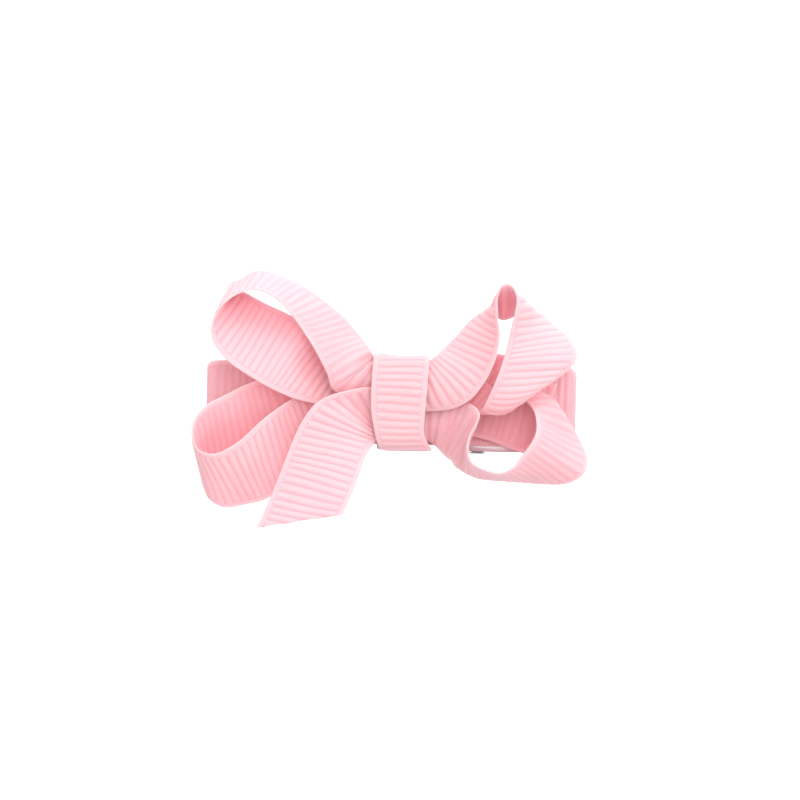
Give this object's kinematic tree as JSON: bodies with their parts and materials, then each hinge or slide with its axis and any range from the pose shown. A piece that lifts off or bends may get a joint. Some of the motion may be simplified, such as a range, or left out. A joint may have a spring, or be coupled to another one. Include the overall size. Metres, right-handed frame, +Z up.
{
  "type": "hair bow on an alligator clip",
  "caption": "Twisted grosgrain hair bow with a bound knot and a hanging tail, glued to a ribbon-covered sprung alligator clip.",
  "frame": {"origin": "in the plane where the closed jaws meet the covered arm, behind the middle of the knot", "axes": "+X along the clip towards its pinch end, +Z up in the bow's worn view, +Y from the bow to the back of the clip"},
  "size_m": [0.0519, 0.0202, 0.0336],
  "materials": {
    "steel": "satin rolled sheet steel",
    "pin_steel": "plain steel rivet",
    "spring_steel": "bright drawn wire",
    "bow_ribbon": "pale pink grosgrain, ribbed across with smooth selvedges",
    "wrap_ribbon": "pale pink grosgrain, narrow",
    "cover_ribbon": "pale pink grosgrain glued flat",
    "thread": "pink sewing thread",
    "glue": "set hot-melt glue"
  },
  "bodies": {
    "bow_and_arm": {"clip_top_arm": "steel", "clip_cover_ribbon": "cover_ribbon", "hinge_pin": "pin_steel", "spring_coil": "spring_steel", "loop_top_left": "bow_ribbon", "loop_bottom_left": "bow_ribbon", "loop_top_right": "bow_ribbon", "loop_bottom_right": "bow_ribbon", "tail_front_left": "bow_ribbon", "tail_back_right": "bow_ribbon", "centre_wrap": "wrap_ribbon", "binding_thread": "thread", "bow_glue_left": "glue", "bow_glue_right": "glue", "wrap_glue": "glue"},
    "lever": {"clip_lower_lever": "steel", "spring_moving_leg": "spring_steel"}
  },
  "joints": [
    {"name": "jaw_hinge", "type": "hinge", "parent": "bow_and_arm", "child": "lever", "pos_m": [0.01, 0.0024, -0.0004], "axis": [0, 0, -1], "range_deg": [0, 28], "stiffness_Nm_per_rad": 0.02, "springref_deg": -40.11}
  ]
}
